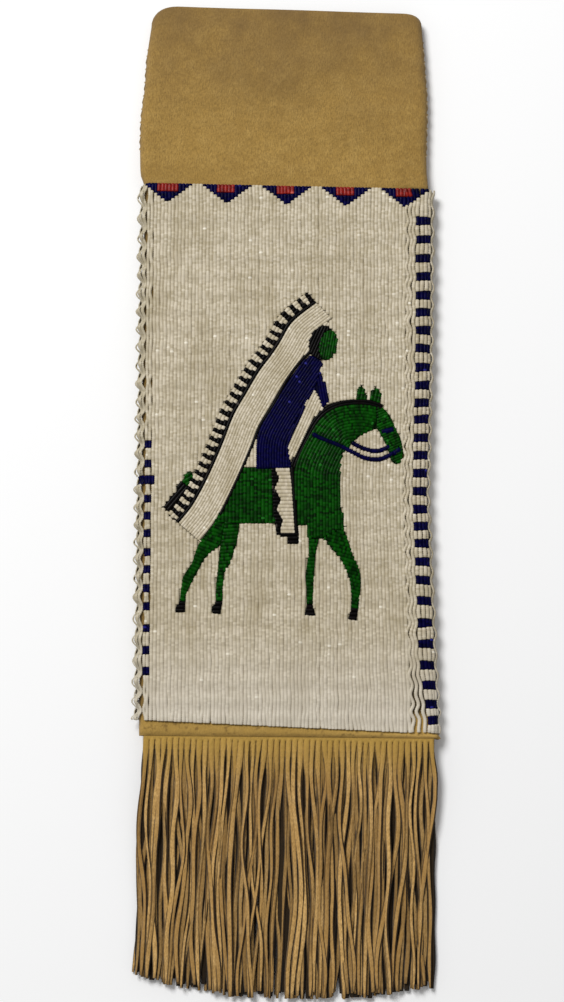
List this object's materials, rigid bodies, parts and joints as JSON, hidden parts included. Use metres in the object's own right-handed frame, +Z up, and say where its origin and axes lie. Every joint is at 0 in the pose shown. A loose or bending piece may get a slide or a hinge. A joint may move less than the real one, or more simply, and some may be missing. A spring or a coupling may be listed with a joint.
{
  "type": "beaded pipe bag",
  "caption": "Long flat hide pouch with a plain open top, a beaded panel showing a rider on a horse, beaded edges and a long cut hide fringe.",
  "frame": {"origin": "centre of the bounding box in X and Y, on the floor that the bag lies on", "axes": "+Y along the bag towards its open mouth, +X across it to the right as seen from the beaded front, +Z up out of the beaded front"},
  "size_m": [0.1675, 0.56, 0.0132],
  "materials": {
    "hide": "soft brain-tanned suede, napped and unevenly toned",
    "fringe_hide": "soft suede cut into thin strips",
    "sinew": "dull twisted thread",
    "white_beads": "small opaque cream white glass beads in couched strings, glossy",
    "navy_beads": "small opaque dark blue glass beads, glossy",
    "red_beads": "small opaque red glass beads, glossy",
    "green_beads": "small opaque deep green glass beads, glossy",
    "black_beads": "small opaque black glass beads, glossy"
  },
  "bodies": {
    "root": {"front_hide": "hide", "back_hide": "hide", "left_seam_thread": "sinew", "right_seam_thread": "sinew", "fringe_front": "fringe_hide", "fringe_back": "fringe_hide", "front_ground": "white_beads", "back_ground": "white_beads", "right_edge_strip": "white_beads", "left_edge_strip": "white_beads", "right_edge_blocks": "navy_beads", "left_edge_blocks": "navy_beads", "ground_under_arm": "white_beads", "ground_behind_seat": "white_beads", "rein_upper": "navy_beads", "rein_lower": "navy_beads", "bridle_upper": "navy_beads", "bridle_lower": "navy_beads", "trail_edge": "black_beads", "legging_stripe": "black_beads", "legging_edge": "black_beads", "foot": "black_beads", "legging": "white_beads", "mane": "black_beads", "shirt": "navy_beads", "face": "green_beads", "hair": "black_beads", "ear_left": "green_beads", "ear_right": "green_beads", "horse_neck": "green_beads", "horse_body": "green_beads", "hind_leg_right": "green_beads", "hind_leg_left": "green_beads", "fore_leg_right": "green_beads", "fore_leg_left": "green_beads", "bonnet_band": "black_beads", "bonnet_feathers": "white_beads", "bonnet_trail": "white_beads", "tail_root": "green_beads", "tail": "black_beads", "border_block_1": "red_beads", "border_triangle_1": "navy_beads", "border_block_2": "red_beads", "border_triangle_2": "navy_beads", "border_block_3": "red_beads", "border_triangle_3": "navy_beads", "border_block_4": "red_beads", "border_triangle_4": "navy_beads", "border_block_5": "red_beads", "border_triangle_5": "navy_beads", "hoof_1": "black_beads", "hoof_2": "black_beads", "hoof_3": "black_beads", "hoof_4": "black_beads"}
  },
  "joints": []
}
